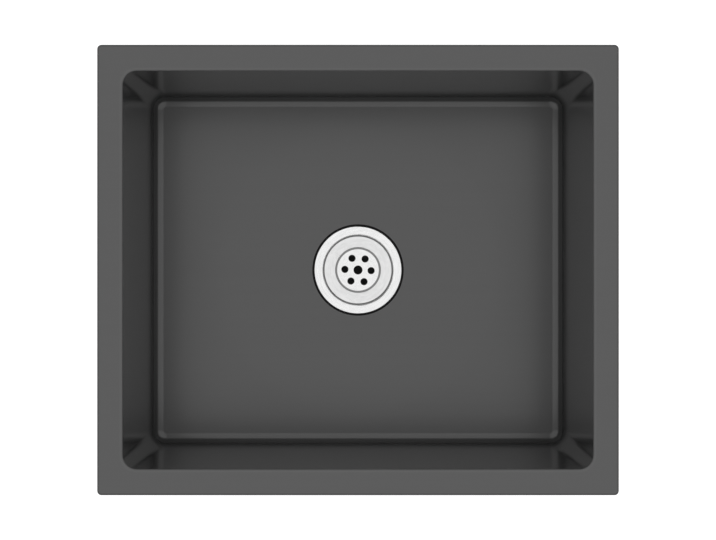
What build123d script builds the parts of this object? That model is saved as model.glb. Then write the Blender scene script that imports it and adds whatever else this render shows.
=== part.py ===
"""Undermount kitchen sink: a folded and welded sheet-steel bowl with a flat rim, and its strainer waste.

Millimetres, +Z up, the front is -Y. The origin is the middle of the bowl's mouth, in the plane of the rim's
top face. That face is glued to the underside of a worktop, and clips press on its underside. The floor falls
to a recess that holds the waste: a pressed flange and cup, clamped from below by a ring nut, with a lift-out
strainer inside and an outlet tail underneath. Rubber pads on the walls and under the floor deaden the sound.
"""

from build123d import *

import os

# ---------------------------------------------------------------- bowl, folded from sheet
bowl_length = 397.0
bowl_width = 336.0
bowl_depth = 200.0
sheet = 1.2
rim_land_ends = 21.5
rim_land_sides = 22.0
rim_corner_radius = 3.7
rim_edge_radius = 0.2
corner_radius = 12.0
cove_radius = 9.0
bend_inner_radius = 0.3

# ---------------------------------------------------------------- floor, drawn down to the waste
dish_margin = 9.0
dish_fall = 3.0
recess_depth = 4.0
recess_mouth_radius = 0.5
recess_foot_radius = 1.5

# ---------------------------------------------------------------- waste body, pressed
waste_sheet = 1.0
flange_diameter = 85.0
flange_edge_radius = 0.3
flange_drop = 0.2
well_diameter = 68.8
well_edge_radius = 0.5
cup_thread_diameter = 59.6
cup_depth = 36.0
shoulder_radius = 3.0
funnel_drop = 7.0
outlet_thread_diameter = 47.8
outlet_thread_length = 15.0
hole_clearance = 0.7

# ---------------------------------------------------------------- seals and clamp
gasket_thickness = 1.0
gasket_overhang = 1.2
gasket_clearance = 0.6
clamp_diameter = 80.0
under_washer_thickness = 3.0
friction_ring_thickness = 1.0
thread_clearance = 0.1
lock_nut_height = 10.0
lock_nut_flange_height = 3.0
lock_nut_wall = 4.5
lock_nut_lugs = 8
lock_nut_lug_width = 5.0
lock_nut_lug_inset = 1.0
edge_break = 0.6

# ---------------------------------------------------------------- outlet tail
tail_diameter = 40.0
tail_wall = 1.8
tail_length = 42.0
tail_flange_thickness = 2.0
tail_flange_clearance = 0.4
tail_collar_step = 0.7
tail_collar_length = 6.0
tail_washer_thickness = 2.0
coupling_thread_cover = 12.0
coupling_wall = 3.5
coupling_lip = 2.5
coupling_lip_clearance = 0.3
coupling_ribs = 12
coupling_rib_diameter = 3.0

# ---------------------------------------------------------------- strainer, which lifts out
strainer_clearance = 1.5
strainer_sheet = 0.8
strainer_rim_width = 2.4
strainer_edge_radius = 0.3
strainer_dish_drop = 2.0
seal_thickness = 1.0
seal_inset = 0.3
seal_clearance = 0.2
sieve_diameter = 40.6
sieve_recess = 0.8
sieve_sheet = 0.8
sieve_lip = 3.2
sieve_gap = 1.9
sieve_hole_diameter = 7.0
sieve_hole_circle = 25.7
sieve_holes = 6
sieve_centre_hole_diameter = 8.8
sieve_turn = -2.8

# ---------------------------------------------------------------- sound-deadening pads
pad_thickness = 4.0
pad_corner_radius = 14.0
pad_edge_radius = 1.0
wall_pad_end_margin = 46.0
wall_pad_top_margin = 36.0
wall_pad_bottom_margin = 28.0
floor_pad_waste_gap = 14.0
floor_pad_end_margin = 28.0
floor_pad_side_margin = 34.0

# ---------------------------------------------------------------- levels and radii that follow from them
rim_length = bowl_length + 2 * rim_land_ends
rim_width = bowl_width + 2 * rim_land_sides
bend_outer_radius = bend_inner_radius + sheet
floor_level = -bowl_depth
dish_radius = min(bowl_length, bowl_width) / 2 - cove_radius - dish_margin
dish_level = floor_level - dish_fall
seat_level = dish_level - recess_depth
underside_level = seat_level - sheet

gasket_level = seat_level + gasket_thickness
flange_level = dish_level - flange_drop
ledge_level = gasket_level + waste_sheet
cup_level = flange_level - cup_depth
funnel_level = cup_level - funnel_drop
outlet_level = funnel_level - outlet_thread_length
flange_radius = flange_diameter / 2
well_radius = well_diameter / 2
cup_thread_radius = cup_thread_diameter / 2
cup_radius = cup_thread_radius - waste_sheet
outlet_thread_radius = outlet_thread_diameter / 2
outlet_radius = outlet_thread_radius - waste_sheet
gasket_radius = flange_radius + gasket_overhang
recess_radius = gasket_radius + gasket_clearance
sink_hole_radius = cup_thread_radius + hole_clearance

friction_ring_level = underside_level - under_washer_thickness
lock_nut_level = friction_ring_level - friction_ring_thickness
clamp_radius = clamp_diameter / 2
lock_nut_bore_radius = cup_thread_radius + thread_clearance
lock_nut_hub_radius = lock_nut_bore_radius + lock_nut_wall

tail_washer_level = outlet_level - tail_washer_thickness
tail_flange_level = tail_washer_level - tail_flange_thickness
coupling_level = tail_flange_level - coupling_lip
tail_end_level = coupling_level - tail_length
tail_radius = tail_diameter / 2
tail_bore_radius = tail_radius - tail_wall
tail_collar_radius = tail_radius + tail_collar_step
tail_flange_radius = outlet_thread_radius - tail_flange_clearance
coupling_bore_radius = outlet_thread_radius + thread_clearance
coupling_radius = coupling_bore_radius + coupling_wall
coupling_top_level = outlet_level + coupling_thread_cover

strainer_radius = well_radius - strainer_clearance
strainer_rim_inner_radius = strainer_radius - strainer_rim_width
strainer_level = ledge_level + seal_thickness + strainer_sheet
strainer_dish_level = strainer_level - strainer_dish_drop
sieve_seat_level = strainer_dish_level - sieve_recess - sieve_sheet
sieve_radius = sieve_diameter / 2
sieve_pocket_radius = sieve_radius + sieve_gap
seal_outer_radius = well_radius - seal_clearance
seal_inner_radius = strainer_rim_inner_radius + seal_inset

os.makedirs("parts", exist_ok=True)


def save(part, label):
    """Labels a finished piece and writes it as one STEP file of that name."""
    part.label = label
    export_step(part, f"parts/{label}.step")


def ring(level, height, outer_radius, inner_radius):
    """A flat ring that stands on the level."""
    with BuildPart() as body:
        with BuildSketch(Plane.XY.offset(level)):
            Circle(outer_radius)
            Circle(inner_radius, mode=Mode.SUBTRACT)
        extrude(amount=height)
    return body.part


# ================================================================ bowl
def bowl_skin(reach):
    """The bowl's inside face moved outwards by the reach, as a solid that fills it up to the rim plane.

    The floor outside the dish is flat. Inside it, the face leaves the floor level and curves down to the
    recess along an arc about a centre far below the dish's edge, so the two meet without a crease. The dish
    is revolved as a plug, which first gets a round hole of its own size to stand in.
    """
    span = dish_radius - recess_radius
    curve_radius = (span**2 + dish_fall**2) / (2 * dish_fall)
    skin_curve_radius = curve_radius - reach
    skin_level = floor_level - reach
    inner_level = floor_level - curve_radius + (skin_curve_radius**2 - span**2) ** 0.5
    plug_level = floor_level + cove_radius
    with BuildPart() as skin:
        with BuildSketch():
            RectangleRounded(bowl_length + 2 * reach, bowl_width + 2 * reach, corner_radius + reach)
        extrude(amount=skin_level)
        fillet(skin.faces().sort_by(Axis.Z)[0].edges(), cove_radius + reach)
        with BuildSketch(Plane.XY.offset(skin_level)):
            Circle(dish_radius)
        extrude(amount=plug_level - skin_level, mode=Mode.SUBTRACT)
        with BuildSketch(Plane.XZ):
            with BuildLine():
                dish = RadiusArc((dish_radius, skin_level), (recess_radius, inner_level), -skin_curve_radius)
                Polyline(dish @ 1, (0, inner_level), (0, plug_level), (dish_radius, plug_level), dish @ 0)
            make_face()
        revolve(axis=Axis.Z)
    return skin.part


def wall_of_radius(part, radius):
    """The round wall of a part whose radius is nearest to the given one."""
    return part.faces().filter_by(GeomType.CYLINDER).sort_by(lambda face: abs(face.radius - radius))[0]


inside = bowl_skin(0)
outside = bowl_skin(sheet)
recess_reach = dish_level - underside_level + dish_fall

with BuildPart() as bowl:
    with BuildSketch():
        RectangleRounded(rim_length, rim_width, rim_corner_radius)
    extrude(amount=-sheet)
    add(outside)
    with BuildSketch(Plane.XY.offset(underside_level)):
        Circle(recess_radius + sheet)
    extrude(amount=recess_reach)
    add(inside, mode=Mode.SUBTRACT)
    with BuildSketch(Plane.XY.offset(seat_level)):
        Circle(recess_radius)
    extrude(amount=recess_reach, mode=Mode.SUBTRACT)
    with BuildSketch(Plane.XY.offset(underside_level)):
        Circle(sink_hole_radius)
    extrude(amount=sheet, mode=Mode.SUBTRACT)

    # the bend from the walls to the rim, below and above, and the rim's outline
    fillet(bowl.faces().filter_by(Plane.XY).sort_by(Axis.Z)[-2].inner_wires()[0].edges(), bend_inner_radius)
    fillet(bowl.faces().sort_by(Axis.Z)[-1].inner_wires()[0].edges(), bend_outer_radius)
    fillet(bowl.faces().sort_by(Axis.Z)[-1].outer_wire().edges(), rim_edge_radius)

    # the bends of the recess, at its mouth inside and round its foot outside
    fillet(wall_of_radius(bowl, recess_radius).edges().sort_by(Axis.Z)[-1], recess_mouth_radius)
    fillet(wall_of_radius(bowl, recess_radius + sheet).edges().sort_by(Axis.Z)[0], recess_foot_radius)
save(bowl.part, "bowl")

# ================================================================ sound-deadening pads
wall_pad_height = bowl_depth - wall_pad_top_margin - wall_pad_bottom_margin
wall_pad_centre_level = -wall_pad_top_margin - wall_pad_height / 2
end_wall_distance = bowl_length / 2 + sheet
side_wall_distance = bowl_width / 2 + sheet
end_pad_length = bowl_width - 2 * wall_pad_end_margin
side_pad_length = bowl_length - 2 * wall_pad_end_margin


def wall_pad(facing, distance, length):
    """A pad glued flat on the outside of the wall that faces this way at this distance from the middle."""
    middle = facing * distance + Vector(0, 0, wall_pad_centre_level)
    wall = Plane(origin=middle, x_dir=Vector(0, 0, 1).cross(facing), z_dir=facing)
    with BuildPart() as pad:
        with BuildSketch(wall):
            RectangleRounded(length, wall_pad_height, pad_corner_radius)
        extrude(amount=pad_thickness)
        fillet(pad.faces().sort_by(Axis(middle, facing))[-1].edges(), pad_edge_radius)
    return pad.part


save(wall_pad(Vector(0, -1, 0), side_wall_distance, side_pad_length), "pad_front")
save(wall_pad(Vector(0, 1, 0), side_wall_distance, side_pad_length), "pad_rear")
save(wall_pad(Vector(-1, 0, 0), end_wall_distance, end_pad_length), "pad_left")
save(wall_pad(Vector(1, 0, 0), end_wall_distance, end_pad_length), "pad_right")

pad_outside = bowl_skin(sheet + pad_thickness)
floor_pad_bottom = underside_level - pad_thickness
floor_pad_inner = recess_radius + sheet + floor_pad_waste_gap
floor_pad_outer = bowl_length / 2 - floor_pad_end_margin
floor_pad_width = bowl_width - 2 * floor_pad_side_margin


def floor_pad(side):
    """A pad glued under the floor beside the waste, which follows the dish and is as thick all over."""
    with BuildPart() as pad:
        with BuildSketch(Plane.XY.offset(floor_pad_bottom)):
            with Locations((side * (floor_pad_inner + floor_pad_outer) / 2, 0)):
                RectangleRounded(floor_pad_outer - floor_pad_inner, floor_pad_width, pad_corner_radius)
        extrude(amount=floor_level - floor_pad_bottom)
        add(pad_outside, mode=Mode.INTERSECT)
        add(outside, mode=Mode.SUBTRACT)
    return pad.part


save(floor_pad(-1), "pad_floor_left")
save(floor_pad(1), "pad_floor_right")

# ================================================================ waste body and its seal in the recess
save(ring(seat_level, gasket_thickness, gasket_radius, sink_hole_radius), "flange_gasket")

with BuildPart() as waste_body:
    with BuildSketch(Plane.XZ):
        with BuildLine():
            FilletPolyline(
                (flange_radius, gasket_level),
                (flange_radius, flange_level),
                (well_radius, flange_level),
                (well_radius, ledge_level),
                (cup_radius, ledge_level),
                (cup_radius, cup_level),
                (outlet_radius, funnel_level),
                (outlet_radius, outlet_level),
                radius=(0, well_edge_radius, 0, well_edge_radius, shoulder_radius, shoulder_radius),
            )
            offset(amount=waste_sheet, side=Side.LEFT)
        make_face()
    revolve(axis=Axis.Z)
    flange = waste_body.faces().filter_by(Plane.XY).sort_by(Axis.Z)[-1]
    fillet(flange.outer_wire().edges(), flange_edge_radius)
save(waste_body.part, "waste_body")

# ================================================================ clamp under the bowl
save(ring(friction_ring_level, under_washer_thickness, clamp_radius, sink_hole_radius), "under_washer")
save(ring(lock_nut_level, friction_ring_thickness, clamp_radius, sink_hole_radius), "friction_ring")

lock_nut_lug_length = 2 * (clamp_radius - lock_nut_hub_radius - lock_nut_lug_inset)
with BuildPart() as lock_nut:
    with BuildSketch(Plane.XY.offset(lock_nut_level)):
        Circle(clamp_radius)
    extrude(amount=-lock_nut_flange_height)
    with BuildSketch(Plane.XY.offset(lock_nut_level)):
        Circle(lock_nut_hub_radius)
        with PolarLocations(lock_nut_hub_radius, lock_nut_lugs):
            Rectangle(lock_nut_lug_length, lock_nut_lug_width)
    extrude(amount=-lock_nut_height)
    with BuildSketch(Plane.XY.offset(lock_nut_level)):
        Circle(lock_nut_bore_radius)
    extrude(amount=-lock_nut_height, mode=Mode.SUBTRACT)
    chamfer(lock_nut.faces().sort_by(Axis.Z)[0].outer_wire().edges(), edge_break)
save(lock_nut.part, "lock_nut")

# ================================================================ outlet tail and its coupling nut
save(ring(tail_washer_level, tail_washer_thickness, tail_flange_radius, tail_bore_radius), "tailpiece_washer")

with BuildPart() as tailpiece:
    with BuildSketch(Plane.XY.offset(tail_washer_level)):
        Circle(tail_flange_radius)
    extrude(amount=-tail_flange_thickness)
    with BuildSketch(Plane.XY.offset(tail_flange_level)):
        Circle(tail_collar_radius)
    extrude(amount=-tail_collar_length)
    with BuildSketch(Plane.XY.offset(tail_end_level)):
        Circle(tail_radius)
    extrude(until=Until.NEXT)
    chamfer(tailpiece.faces().sort_by(Axis.Z)[0].edges(), edge_break)
    with BuildSketch(Plane.XY.offset(tail_end_level)):
        Circle(tail_bore_radius)
    extrude(amount=tail_washer_level - tail_end_level, mode=Mode.SUBTRACT)
save(tailpiece.part, "tailpiece")

with BuildPart() as coupling_nut:
    with BuildSketch(Plane.XY.offset(coupling_level)):
        Circle(coupling_radius)
        with PolarLocations(coupling_radius, coupling_ribs):
            Circle(coupling_rib_diameter / 2)
    extrude(amount=coupling_top_level - coupling_level)
    chamfer(coupling_nut.faces().sort_by(Axis.Z)[0].edges(), edge_break)
    with BuildSketch(Plane.XY.offset(coupling_level)):
        Circle(tail_collar_radius + coupling_lip_clearance)
    extrude(amount=coupling_lip, mode=Mode.SUBTRACT)
    with BuildSketch(Plane.XY.offset(tail_flange_level)):
        Circle(coupling_bore_radius)
    extrude(amount=coupling_top_level - tail_flange_level, mode=Mode.SUBTRACT)
save(coupling_nut.part, "coupling_nut")

# ================================================================ strainer: a dish, its sieve and its seal
with BuildPart() as strainer_dish:
    with BuildSketch(Plane.XZ):
        with BuildLine():
            FilletPolyline(
                (strainer_radius, strainer_level),
                (strainer_rim_inner_radius, strainer_level),
                (sieve_pocket_radius, strainer_dish_level),
                (sieve_pocket_radius, sieve_seat_level),
                (sieve_pocket_radius - sieve_lip, sieve_seat_level),
                radius=(strainer_sheet, strainer_edge_radius, 0),
            )
            offset(amount=strainer_sheet, side=Side.LEFT)
        make_face()
    revolve(axis=Axis.Z)
    strainer_rim = strainer_dish.faces().filter_by(Plane.XY).sort_by(Axis.Z)[-1]
    fillet(strainer_rim.outer_wire().edges(), strainer_edge_radius)
save(strainer_dish.part, "strainer_dish")

with BuildPart() as sieve_plate:
    with BuildSketch(Plane.XY.offset(sieve_seat_level)):
        Circle(sieve_radius)
        Circle(sieve_centre_hole_diameter / 2, mode=Mode.SUBTRACT)
        with PolarLocations(sieve_hole_circle / 2, sieve_holes, start_angle=sieve_turn):
            Circle(sieve_hole_diameter / 2, mode=Mode.SUBTRACT)
    extrude(amount=sieve_sheet)
save(sieve_plate.part, "sieve_plate")

save(ring(ledge_level, seal_thickness, seal_outer_radius, seal_inner_radius), "strainer_seal")
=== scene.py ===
"""The looks of the undermount sink: materials, threads, floor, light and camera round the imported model.

Metres, in the model's frame: +Z up, the front is -Y, and the origin is the middle of the bowl's mouth.
"""

import math

import bmesh
import bpy
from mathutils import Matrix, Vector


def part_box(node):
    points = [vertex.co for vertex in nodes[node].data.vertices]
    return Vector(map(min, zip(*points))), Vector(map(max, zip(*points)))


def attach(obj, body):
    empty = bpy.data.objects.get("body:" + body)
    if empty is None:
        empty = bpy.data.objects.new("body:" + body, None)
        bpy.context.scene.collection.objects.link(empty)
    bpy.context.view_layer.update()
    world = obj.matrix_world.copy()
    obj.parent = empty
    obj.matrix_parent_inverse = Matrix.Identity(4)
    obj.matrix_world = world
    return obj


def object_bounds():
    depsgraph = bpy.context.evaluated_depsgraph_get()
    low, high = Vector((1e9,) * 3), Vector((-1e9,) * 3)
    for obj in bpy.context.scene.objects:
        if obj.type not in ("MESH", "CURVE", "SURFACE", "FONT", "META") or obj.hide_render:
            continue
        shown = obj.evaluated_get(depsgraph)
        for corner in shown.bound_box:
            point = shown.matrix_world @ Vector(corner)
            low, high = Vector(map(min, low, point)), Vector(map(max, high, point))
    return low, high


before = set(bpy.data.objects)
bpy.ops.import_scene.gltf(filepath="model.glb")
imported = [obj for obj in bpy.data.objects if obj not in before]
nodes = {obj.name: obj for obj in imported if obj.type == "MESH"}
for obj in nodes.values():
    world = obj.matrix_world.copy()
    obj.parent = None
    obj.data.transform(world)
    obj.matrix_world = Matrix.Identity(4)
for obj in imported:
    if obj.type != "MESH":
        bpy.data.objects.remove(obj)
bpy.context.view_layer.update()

MM = 0.001

# ---------------------------------------------------------------- the photograph's view
IMAGE_WIDTH = 716
FOCAL_PIXELS = 1523.7
SENSOR_WIDTH = 36.0
CAMERA_HEIGHT = 1.285

# ---------------------------------------------------------------- where the bowl's finish and painted light and shade change
MOUTH = (198.5 * MM, 168.0 * MM, 12.0 * MM)  # half length, half width and corner radius
OUTLINE = (220.0 * MM, 190.0 * MM, 3.7 * MM)
# painted highlight along the lip and round the mouth
LIP_LEVELS = (-2.2 * MM, -0.6 * MM)
LIP_LINE = (-2.9 * MM, -2.3 * MM, -1.5 * MM, -0.9 * MM)  # begins, is whole, starts to fade, ends
# painted shade along the cut outer edge of the rim
OUTLINE_SHADE_WIDTH = (1.9 * MM, 1.3 * MM)
RECESS_RADIUS = 44.7 * MM
# painted highlight round the mouth of the recess
RECESS_HIGHLIGHT_WIDTH = (0.9 * MM, 0.3 * MM)
# painted shade: where the black band in the recess round the flange lies
RECESS_SHADE_RADIUS = (44.9 * MM, 44.7 * MM)
RECESS_SHADE_LEVELS = (-203.02 * MM, -203.16 * MM)
SPRAY_LEVELS = (-7.6 * MM, -8.8 * MM)
CORNER_CENTRE = (186.5 * MM, 156.0 * MM)
WELD_WIDTH = (2.6 * MM, 0.6 * MM)
WELD_REACH = (2.0 * MM, 4.0 * MM)
END_WALL = (0.6, 0.8)  # how squarely a wall faces an end
TURNED_DOWN = (0.98, 0.7)  # how level the lip's rounding is
OUTWARD = (0.004, 0.012)

# ---------------------------------------------------------------- where the waste's finish and painted shade change
RAW_LEVELS = (-207.0 * MM, -210.0 * MM)
# painted shade inside the waste, below the raw level
INNER_SHADE_RADIUS = (29.3 * MM, 29.0 * MM)
# painted shade in the gap round the sieve
SIEVE_GAP = (21.35 * MM, 1.05 * MM, -205.7 * MM)  # radius, half width and top of the gap round the sieve
GAP_SOFTNESS = 0.15 * MM
GAP_FADE = (0.1 * MM, -0.3 * MM)

# ---------------------------------------------------------------- linear brightness and colour
WHITE = (1.0, 1.0, 1.0, 1.0)
GUNMETAL = 0.0568
UNDERCOAT = 0.070
# painted shade in the recess round the flange
RECESS_SHADE = 0.004
FLANGE_STEEL = 0.86
DISH_STEEL = 0.80
RAW_STEEL = 0.42
# painted shade in the gap round the sieve
GAP_SHADE = 0.24
# painted shade inside the waste
INNER_SHADE = 0.12
PAD = 0.018
SEAL = 0.006
STRAINER_SEAL = 0.15
# painted highlight along the lip and the recess's mouth, and painted shade along the rim's outer edge
EDGE_HIGHLIGHT = 0.12
RECESS_HIGHLIGHT = 0.6
OUTLINE_SHADE = 0.42

# ---------------------------------------------------------------- gloss
GUNMETAL_ROUGHNESS = 0.18
COAT = 0.27
COAT_ROUGHNESS = 0.24
UNDERCOAT_ROUGHNESS = 0.82
FLANGE_ROUGHNESS = 0.26
DISH_ROUGHNESS = 0.30
SIEVE_ROUGHNESS = 0.28
RAW_ROUGHNESS = 0.42
PAD_ROUGHNESS = 0.62
SEAL_ROUGHNESS = 0.48
SEAL_SPECULAR = 0.2

# ---------------------------------------------------------------- grain, in cycles a metre
BRUSHING_FINE = (22.0, 2600.0)  # along and across
BRUSHING_BROAD = (3.0, 240.0)
TURNING_FINE = (1.5, 2400.0)  # in a radian round the axis, and outwards
TURNING_BROAD = (4.0, 620.0)
HANDLING = 14.0
STEEL_CLOUDS = 60.0
DROPLETS = 420.0
MOTTLE = 30.0
SPATTER = 300.0
WELD_BEADS = 1500.0 / (2 * math.pi)
PAD_PEBBLES = 420.0
PAD_GRAIN = 2600.0
PAD_DUST = 22.0
SEAL_BLOOM = 120.0
SEAL_GRAIN = 3200.0
PLASTIC_FLOW = 70.0
PLASTIC_GRAIN = 2200.0
PLASTIC_SCUFFS = 260.0

# ---------------------------------------------------------------- plastics: colour, roughness, grain depth
PLASTICS = {
    "white_plastic": ((0.72, 0.72, 0.70), 0.42, 0.05 * MM),
    "black_plastic": ((0.022, 0.022, 0.023), 0.40, 0.10 * MM),
    "grey_plastic": ((0.42, 0.43, 0.44), 0.38, 0.06 * MM),
}

# ---------------------------------------------------------------- threads, millimetres
CUP_THREAD = {"radius": 29.8, "pitch": 2.3, "height": 0.5}
CUP_THREAD_REACH = (2.0, -14.0)  # above and below the underside of the lock nut
NECK_THREAD = {"radius": 23.9, "pitch": 1.4, "height": 0.35}
NECK_THREAD_REACH = (1.4, -3.0)  # above and below the top of the coupling nut
THREAD_STEPS_A_TURN = 72
THREAD_PROFILE = ((-0.46, -0.2), (-0.30, 0.35), (-0.12, 0.93), (0.12, 0.93), (0.30, 0.35), (0.46, -0.2))

# ---------------------------------------------------------------- floor and light
# What cameras and mirrors see of the floor and the sky is brighter than what lights the object.
FLOOR_SIZE = 30.0
FLOOR_ALBEDO = 0.8
FLOOR_SEEN_ALBEDO = 0.5
FLOOR_SEEN_GLOW = 0.76
TAIL_RADIUS = 20.0 * MM
# painted shade: the floor inside the tail is dark
TAIL_SHADE_ALBEDO = 0.12
CONTACT_SHADE = 0.45
DIFFUSE_SKY = 0.47
SEEN_SKY = 1.0
ZENITH_LIGHT = 1.68
ZENITH_ANGLE = 42.0
ZENITH_HEIGHT = 3.0


# ---------------------------------------------------------------- node trees, written as expressions
class Tree:
    """Adds nodes to a node tree. Its methods hand back output sockets."""

    def __init__(self, tree):
        self.tree = tree

    def node(self, kind, **settings):
        made = self.tree.nodes.new(kind)
        for setting, value in settings.items():
            setattr(made, setting, value)
        return made

    def feed(self, socket, value):
        if isinstance(value, bpy.types.NodeSocket):
            self.tree.links.new(value, socket)
        else:
            socket.default_value = value

    def place(self, output):
        """The Object or Normal coordinates."""
        return self.node("ShaderNodeTexCoord").outputs[output]

    def math(self, operation, *values):
        made = self.node("ShaderNodeMath", operation=operation)
        for socket, value in zip(made.inputs, values):
            self.feed(socket, value)
        return made.outputs[0]

    def add(self, first, *others):
        for other in others:
            first = self.math("ADD", first, other)
        return first

    def times(self, first, *others):
        for other in others:
            first = self.math("MULTIPLY", first, other)
        return first

    def shader(self, kind, **sockets):
        made = self.node(kind)
        for name, value in sockets.items():
            self.feed(made.inputs[name], value)
        return made.outputs[0]

    def either(self, factor, first, second):
        """The first shader where the factor is 0, the second where it is 1."""
        made = self.node("ShaderNodeMixShader")
        for socket, value in zip(made.inputs, (factor, first, second)):
            self.feed(socket, value)
        return made.outputs[0]

    def seen_directly(self):
        """1 for what a camera, a mirror or a glass sees, 0 for light on its way to a matt surface."""
        path = self.node("ShaderNodeLightPath").outputs
        seen = self.math("MAXIMUM", path["Is Camera Ray"], path["Is Glossy Ray"])
        return self.math("MAXIMUM", seen, path["Is Transmission Ray"])


class Finish(Tree):
    """A procedural material on the Principled shader."""

    def __init__(self, name):
        self.material = bpy.data.materials.new(name)
        self.material.use_nodes = True
        super().__init__(self.material.node_tree)
        self.principled = self.tree.nodes["Principled BSDF"]
        self.position = self.place("Object")
        self.x, self.y, self.z = self.split(self.position)

    def split(self, vector):
        made = self.node("ShaderNodeSeparateXYZ")
        self.feed(made.inputs[0], vector)
        return made.outputs

    def join(self, x, y, z):
        made = self.node("ShaderNodeCombineXYZ")
        for socket, value in zip(made.inputs, (x, y, z)):
            self.feed(socket, value)
        return made.outputs[0]

    def level(self, value):
        """A brightness as a colour."""
        return self.join(value, value, value)

    def ramp(self, value, start, end):
        """Rises smoothly from 0 at start to 1 at end."""
        made = self.node("ShaderNodeMapRange", interpolation_type="SMOOTHSTEP")
        for socket, part in zip(made.inputs, (value, start, end, 0.0, 1.0)):
            self.feed(socket, part)
        return made.outputs[0]

    def blend(self, factor, first, second):
        made = self.node("ShaderNodeMix", data_type="FLOAT")
        for socket, part in zip(made.inputs, (factor, None, first, second)):
            if part is not None:
                self.feed(socket, part)
        return made.outputs[0]

    def varied(self, base, *patterns):
        """The base, plus each pattern times its share."""
        for pattern, share in patterns:
            base = self.add(base, self.times(pattern, share))
        return base

    def noise(self, vector, scale=1.0, detail=2.0, roughness=0.5):
        """Soft noise about 0."""
        made = self.node("ShaderNodeTexNoise")
        self.feed(made.inputs["Vector"], vector)
        self.feed(made.inputs["Scale"], scale)
        self.feed(made.inputs["Detail"], detail)
        self.feed(made.inputs["Roughness"], roughness)
        return self.math("SUBTRACT", made.outputs[0], 0.5)

    def stretched_noise(self, along, across, cycles_along, cycles_across, layer):
        """Noise drawn out into streaks. Each layer has streaks of its own."""
        streaks = self.join(self.times(along, cycles_along), self.times(across, cycles_across), layer)
        return self.noise(streaks, detail=1.0)

    def cells(self, vector, scale):
        """Rounded cells, 0 at the middle of each."""
        made = self.node("ShaderNodeTexVoronoi")
        self.feed(made.inputs["Vector"], vector)
        self.feed(made.inputs["Scale"], scale)
        return made.outputs["Distance"]

    def span(self, a, b):
        """The length of the vector a, b."""
        return self.math("SQRT", self.add(self.times(a, a), self.times(b, b)))

    def inset(self, half_length, half_width, corner):
        """How far inside a rounded rectangle about the middle a point lies, seen from above."""
        over_x = self.math("SUBTRACT", self.math("ABSOLUTE", self.x), half_length - corner)
        over_y = self.math("SUBTRACT", self.math("ABSOLUTE", self.y), half_width - corner)
        past_corner = self.span(self.math("MAXIMUM", over_x, 0.0), self.math("MAXIMUM", over_y, 0.0))
        past_side = self.math("MINIMUM", self.math("MAXIMUM", over_x, over_y), 0.0)
        return self.math("SUBTRACT", corner, self.add(past_corner, past_side))

    def bump(self, height, distance):
        made = self.node("ShaderNodeBump")
        self.feed(made.inputs["Strength"], 1.0)
        self.feed(made.inputs["Distance"], distance)
        self.feed(made.inputs["Height"], height)
        self.feed(self.principled.inputs["Normal"], made.outputs[0])

    def set(self, **sockets):
        for name, value in sockets.items():
            self.feed(self.principled.inputs[name.replace("_", " ")], value)


def dress(finish, *names):
    """Gives CAD nodes their material."""
    for name in names:
        for slot in nodes[name].material_slots:
            slot.material = finish.material


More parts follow.
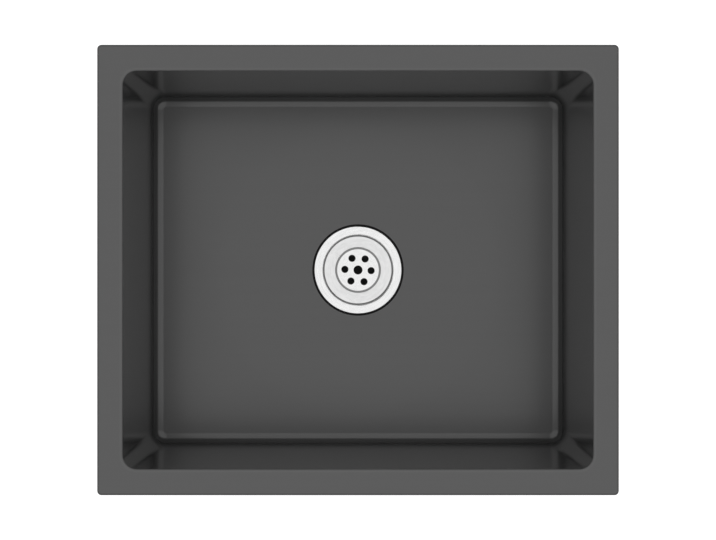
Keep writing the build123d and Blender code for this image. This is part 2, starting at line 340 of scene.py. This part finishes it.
# ---------------------------------------------------------------- the bowl: coated inside, sprayed outside
def coated_steel():
    """Dark satin coating over brushed sheet. The outside below the rim has a matt grainy undercoat."""
    f = Finish("gunmetal_steel")
    nx, ny, nz = f.split(f.place("Normal"))
    radius = f.span(f.x, f.y)

    # brushing, which runs along each wall and lengthways on the floor and the rim
    on_end = f.ramp(f.math("ABSOLUTE", nx), *END_WALL)
    along = f.blend(on_end, f.x, f.y)
    across = f.add(f.z, f.blend(on_end, f.y, f.x))
    fine = f.stretched_noise(along, across, *BRUSHING_FINE, 0.0)
    broad = f.stretched_noise(along, across, *BRUSHING_BROAD, 0.5)
    handled = f.noise(f.position, scale=HANDLING, roughness=0.6)

    # painted highlight along the lip's rounding, the mouth and the mouth of the recess; painted shade along
    # the cut outer edge
    near_top = f.ramp(f.z, *LIP_LEVELS)
    turned_down = f.times(near_top, f.ramp(nz, *TURNED_DOWN))
    line_begins, line_whole, line_fades, line_ends = LIP_LINE
    off_mouth = f.inset(*MOUTH)
    line = f.times(f.ramp(off_mouth, line_ends, line_fades), f.ramp(off_mouth, line_begins, line_whole))
    lip = f.math("MAXIMUM", turned_down, f.times(line, near_top))
    off_recess = f.math("ABSOLUTE", f.math("SUBTRACT", radius, RECESS_RADIUS))
    edge_highlight = f.math("MAXIMUM", lip, f.times(f.ramp(off_recess, *RECESS_HIGHLIGHT_WIDTH), RECESS_HIGHLIGHT))
    outline_shade = f.ramp(f.inset(*OUTLINE), *OUTLINE_SHADE_WIDTH)

    # painted shade: a black band low in the recess round the flange, where the gap lies in shade
    recess_shade = f.times(f.ramp(radius, *RECESS_SHADE_RADIUS), f.ramp(f.z, *RECESS_SHADE_LEVELS))

    # the outside, where the undercoat thins out into separate droplets below the rim
    droplets = f.noise(f.position, scale=DROPLETS, roughness=0.6)
    mottle = f.noise(f.position, scale=MOTTLE)
    outward = f.add(f.times(f.x, nx), f.times(f.y, ny))
    outward = f.math("SUBTRACT", outward, f.times(nz, 0.2))
    edge = f.varied(f.z, (droplets, 16.0 * MM), (mottle, 5.0 * MM))
    sprayed = f.times(f.ramp(outward, *OUTWARD), f.ramp(edge, *SPRAY_LEVELS))

    # the undercoat's pebbled skin, and the weld under it up each corner
    spatter = f.noise(f.position, scale=SPATTER, detail=3.0, roughness=0.6)
    corner_x = f.math("SUBTRACT", f.math("ABSOLUTE", f.x), CORNER_CENTRE[0])
    corner_y = f.math("SUBTRACT", f.math("ABSOLUTE", f.y), CORNER_CENTRE[1])
    off_weld = f.math("ABSOLUTE", f.math("SUBTRACT", corner_x, corner_y))
    beads = f.math("SINE", f.times(f.z, 2 * math.pi * WELD_BEADS))
    weld = f.times(f.ramp(off_weld, *WELD_WIDTH), f.ramp(corner_x, *WELD_REACH))
    weld = f.times(weld, f.varied(0.8, (beads, 0.2)))

    # lighter with painted highlight along the lip and the recess's mouth, darker with painted shade along
    # the outer edge
    tone = f.varied(1.0, (broad, 0.05), (fine, 0.06), (edge_highlight, EDGE_HIGHLIGHT))
    tone = f.times(tone, f.math("SUBTRACT", 1.0, f.times(outline_shade, OUTLINE_SHADE)))
    # the recess's painted shade replaces the coat's colour
    coat = f.blend(recess_shade, f.times(tone, GUNMETAL), RECESS_SHADE)
    spray = f.times(f.varied(1.0, (mottle, 0.6), (spatter, 1.2)), UNDERCOAT)
    smooth = f.varied(GUNMETAL_ROUGHNESS, (fine, 0.05), (handled, 0.04))
    matt = f.varied(UNDERCOAT_ROUGHNESS, (mottle, 0.2))
    f.set(
        Base_Color=f.level(f.blend(sprayed, coat, spray)),
        Metallic=f.blend(sprayed, recess_shade, 0.0),
        Roughness=f.blend(f.math("MAXIMUM", sprayed, recess_shade), smooth, matt),
        Coat_Weight=COAT,
        Coat_Roughness=COAT_ROUGHNESS,
    )
    grain = f.times(fine, 0.006)
    pebbles = f.add(f.times(spatter, 2.6), f.times(weld, 1.6))
    f.bump(f.blend(sprayed, grain, pebbles), 0.4 * MM)
    return f


# ---------------------------------------------------------------- the waste: turned and pressed bright steel
def turned_steel(name, brightness, gloss, shaded_gap=None, raw=False):
    """Satin steel with fine rings about the waste's axis.

    A shaded gap is a ring painted dark as shade. Raw steel is left unpolished below the raw level, and is
    painted dark as shade inside the inner shade's radius.
    """
    f = Finish(name)
    radius = f.span(f.x, f.y)
    safe = f.math("MAXIMUM", radius, MM)
    turn_x = f.math("DIVIDE", f.x, safe)
    turn_y = f.math("DIVIDE", f.y, safe)
    across = f.math("SUBTRACT", radius, f.z)

    def rings(around, outward, detail):
        turned = f.join(f.times(turn_x, around), f.times(turn_y, around), f.times(across, outward))
        return f.noise(turned, detail=detail)

    fine = rings(*TURNING_FINE, 3.0)
    broad = rings(*TURNING_BROAD, 2.0)
    cloud = f.noise(f.position, scale=STEEL_CLOUDS, detail=4.0, roughness=0.6)
    tone = f.varied(1.0, (fine, 0.14), (broad, 0.26), (cloud, 0.05))
    shine = f.times(tone, brightness)
    # painted shade: the gap round the sieve is painted dark
    if shaded_gap:
        middle, half_width, top = shaded_gap
        away = f.math("ABSOLUTE", f.math("SUBTRACT", radius, middle))
        above, below = GAP_FADE
        inside = f.ramp(away, half_width + GAP_SOFTNESS, half_width - GAP_SOFTNESS)
        inside = f.times(inside, f.ramp(f.z, top + above, top + below))
        shine = f.blend(inside, shine, GAP_SHADE)
    if raw:
        low = f.ramp(f.z, *RAW_LEVELS)
        # painted shade: the inside of the waste's cup and neck is painted dark
        shaded_inside = f.ramp(radius, *INNER_SHADE_RADIUS)
        shine = f.blend(low, shine, f.blend(shaded_inside, f.times(tone, RAW_STEEL), INNER_SHADE))
        gloss = f.blend(low, gloss, RAW_ROUGHNESS)
    roughness = f.varied(gloss, (fine, 0.12), (cloud, 0.10))
    f.set(Base_Color=f.level(shine), Metallic=1.0, Roughness=roughness)
    f.bump(f.times(fine, 0.03), 0.2 * MM)
    return f


# ---------------------------------------------------------------- rubber and plastics
def pad_rubber():
    """Matt filled rubber with a pebbled skin, dusty in its hollows, glossier along its edges and lighter
    there with painted sheen.
    """
    f = Finish("pad_rubber")
    nx, ny, nz = (f.math("ABSOLUTE", part) for part in f.split(f.place("Normal")))
    pebble = f.cells(f.position, PAD_PEBBLES)
    grain = f.noise(f.position, scale=PAD_GRAIN)
    cloud = f.noise(f.position, scale=PAD_DUST, detail=5.0, roughness=0.65)
    flat = f.math("MAXIMUM", nx, f.math("MAXIMUM", ny, nz))
    # glossier along the edges from wear, where the lighter colour is painted sheen
    rubbed_and_sheen = f.times(f.ramp(flat, 0.98, 0.8), f.ramp(cloud, -0.1, 0.2))
    tone = f.varied(PAD, (pebble, 0.014), (cloud, 0.022), (rubbed_and_sheen, 0.020))
    roughness = f.varied(PAD_ROUGHNESS, (cloud, 0.35), (rubbed_and_sheen, -0.15))
    f.set(Base_Color=f.level(tone), Roughness=roughness)
    f.bump(f.add(f.times(pebble, -0.8), f.times(grain, 0.2)), 0.8 * MM)
    return f


def seal_rubber(name, brightness):
    """Smooth moulded rubber with a faint bloom."""
    f = Finish(name)
    bloom = f.noise(f.position, scale=SEAL_BLOOM, detail=4.0, roughness=0.6)
    grain = f.noise(f.position, scale=SEAL_GRAIN)
    tone = f.times(f.varied(1.0, (bloom, 0.8)), brightness)
    roughness = f.varied(SEAL_ROUGHNESS, (bloom, 0.25))
    f.set(Base_Color=f.level(tone), Roughness=roughness, Specular_IOR_Level=SEAL_SPECULAR)
    f.bump(f.times(grain, 0.4), 0.08 * MM)
    return f


def moulded_plastic(name):
    """Moulded plastic: faint flow marks, a fine spark-eroded grain and scuffs."""
    colour, gloss, grain_depth = PLASTICS[name]
    f = Finish(name)
    stretched = f.join(f.x, f.y, f.times(f.z, 0.35))
    flow = f.noise(stretched, scale=PLASTIC_FLOW, detail=3.0, roughness=0.6)
    grain = f.noise(f.position, scale=PLASTIC_GRAIN)
    scuff = f.ramp(f.noise(f.position, scale=PLASTIC_SCUFFS, detail=5.0, roughness=0.7), 0.10, 0.24)
    tinted = f.node("ShaderNodeMix", data_type="RGBA", blend_type="MULTIPLY")
    factor, plain, tone = (tinted.inputs[k] for k in (0, 6, 7))
    f.feed(factor, 1.0)
    f.feed(plain, (*colour, 1.0))
    f.feed(tone, f.level(f.varied(1.0, (flow, 0.12), (grain, 0.06))))
    roughness = f.varied(gloss, (flow, 0.15), (scuff, 0.14))
    f.set(Base_Color=tinted.outputs[2], Roughness=roughness)
    f.bump(f.add(grain, f.times(scuff, 0.5)), grain_depth)
    return f


flange_steel = turned_steel("satin_steel_waste", FLANGE_STEEL, FLANGE_ROUGHNESS, raw=True)
dress(coated_steel(), "bowl")
dress(flange_steel, "waste_body")
dress(turned_steel("satin_steel_dish", DISH_STEEL, DISH_ROUGHNESS, shaded_gap=SIEVE_GAP), "strainer_dish")
dress(turned_steel("satin_steel_sieve", FLANGE_STEEL, SIEVE_ROUGHNESS), "sieve_plate")
dress(pad_rubber(), "pad_front", "pad_rear", "pad_left", "pad_right", "pad_floor_left", "pad_floor_right")
dress(seal_rubber("seal_rubber", SEAL), "flange_gasket", "under_washer")
dress(seal_rubber("seal_rubber_grey", STRAINER_SEAL), "strainer_seal")
dress(moulded_plastic("white_plastic"), "friction_ring", "tailpiece_washer")
dress(moulded_plastic("black_plastic"), "lock_nut", "coupling_nut")
dress(moulded_plastic("grey_plastic"), "tailpiece")


# ---------------------------------------------------------------- rolled threads on the waste body
def thread(name, top, bottom, radius, pitch, height):
    """A rounded ridge that winds down round the axis, from nothing at each end. Millimetres."""
    steps = round((top - bottom) / pitch * THREAD_STEPS_A_TURN)
    fade = THREAD_STEPS_A_TURN // 3
    mesh = bmesh.new()
    loops = []
    for step in range(steps + 1):
        angle = 2 * math.pi * step / THREAD_STEPS_A_TURN
        level = top - (top - bottom) * step / steps
        grown = math.sin(min(1.0, step / fade, (steps - step) / fade) * math.pi / 2)
        loop = []
        for offset, rise in THREAD_PROFILE:
            reach = radius + height * (rise * grown if rise > 0 else rise)
            point = (reach * math.cos(angle), reach * math.sin(angle), level - offset * pitch)
            loop.append(mesh.verts.new([part * MM for part in point]))
        loops.append(loop)
    sides = len(THREAD_PROFILE)
    for first, second in zip(loops, loops[1:]):
        for k in range(sides):
            after = (k + 1) % sides
            mesh.faces.new((first[k], first[after], second[after], second[k]))
    mesh.faces.new(loops[0][::-1])
    mesh.faces.new(loops[-1])
    bmesh.ops.recalc_face_normals(mesh, faces=mesh.faces)
    data = bpy.data.meshes.new(name)
    mesh.to_mesh(data)
    mesh.free()
    data.shade_smooth()
    data.materials.append(flange_steel.material)
    piece = bpy.data.objects.new(name, data)
    bpy.context.collection.objects.link(piece)
    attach(piece, "sink")


nut_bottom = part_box("lock_nut")[0][2] / MM
coupling_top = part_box("coupling_nut")[1][2] / MM
thread("cup_thread", *(nut_bottom + reach for reach in CUP_THREAD_REACH), **CUP_THREAD)
thread("neck_thread", *(coupling_top + reach for reach in NECK_THREAD_REACH), **NECK_THREAD)

# ---------------------------------------------------------------- floor
floor_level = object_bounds()[0][2]
bpy.ops.mesh.primitive_plane_add(size=FLOOR_SIZE, location=(0, 0, floor_level))
floor = bpy.context.object
floor.name = "studio_floor"

floor_material = bpy.data.materials.new("studio_floor")
floor_material.use_nodes = True
floor.data.materials.append(floor_material)
ground = Tree(floor_material.node_tree)
ground.tree.nodes.remove(ground.tree.nodes["Principled BSDF"])

# seen directly it glows; the glow fades towards the foot of the tail as a painted contact shadow, and inside
# the tail the floor is painted dark as shade
length = ground.node("ShaderNodeVectorMath", operation="LENGTH")
ground.feed(length.inputs[0], ground.place("Object"))
radius = length.outputs["Value"]
outside = ground.math("GREATER_THAN", radius, TAIL_RADIUS)
shade = ground.math("POWER", ground.math("DIVIDE", TAIL_RADIUS, radius), 2.0)
shade = ground.times(shade, -CONTACT_SHADE * FLOOR_SEEN_GLOW)
glow = ground.times(ground.add(shade, FLOOR_SEEN_GLOW), outside)
pale = ground.add(ground.times(outside, FLOOR_SEEN_ALBEDO - TAIL_SHADE_ALBEDO), TAIL_SHADE_ALBEDO)
both = ground.node("ShaderNodeAddShader")
ground.feed(both.inputs[0], ground.shader("ShaderNodeBsdfDiffuse", Color=pale))
ground.feed(both.inputs[1], ground.shader("ShaderNodeEmission", Color=WHITE, Strength=glow))
matt = ground.shader("ShaderNodeBsdfDiffuse", Color=(FLOOR_ALBEDO, FLOOR_ALBEDO, FLOOR_ALBEDO, 1.0))
surface = ground.either(ground.seen_directly(), matt, both.outputs[0])
ground.feed(ground.tree.nodes["Material Output"].inputs["Surface"], surface)

# ---------------------------------------------------------------- sky, and a broad soft lamp straight above
world = bpy.data.worlds.new("studio")
world.use_nodes = True
bpy.context.scene.world = world
sky = Tree(world.node_tree)
dim = sky.shader("ShaderNodeBackground", Color=WHITE, Strength=DIFFUSE_SKY)
bright = sky.shader("ShaderNodeBackground", Color=WHITE, Strength=SEEN_SKY)
surface = sky.either(sky.seen_directly(), dim, bright)
sky.feed(sky.tree.nodes["World Output"].inputs["Surface"], surface)

zenith_data = bpy.data.lights.new("zenith", "SUN")
zenith_data.energy = ZENITH_LIGHT
zenith_data.angle = math.radians(ZENITH_ANGLE)
zenith = bpy.data.objects.new("zenith", zenith_data)
zenith.location = (0, 0, ZENITH_HEIGHT)
zenith.visible_glossy = False
bpy.context.collection.objects.link(zenith)

# ---------------------------------------------------------------- camera
camera_data = bpy.data.cameras.new("camera")
camera_data.sensor_width = SENSOR_WIDTH
camera_data.lens = FOCAL_PIXELS / IMAGE_WIDTH * SENSOR_WIDTH
camera = bpy.data.objects.new("camera", camera_data)
camera.location = (0, 0, CAMERA_HEIGHT)
bpy.context.collection.objects.link(camera)
bpy.context.scene.camera = camera
bpy.context.scene.view_settings.view_transform = "Standard"
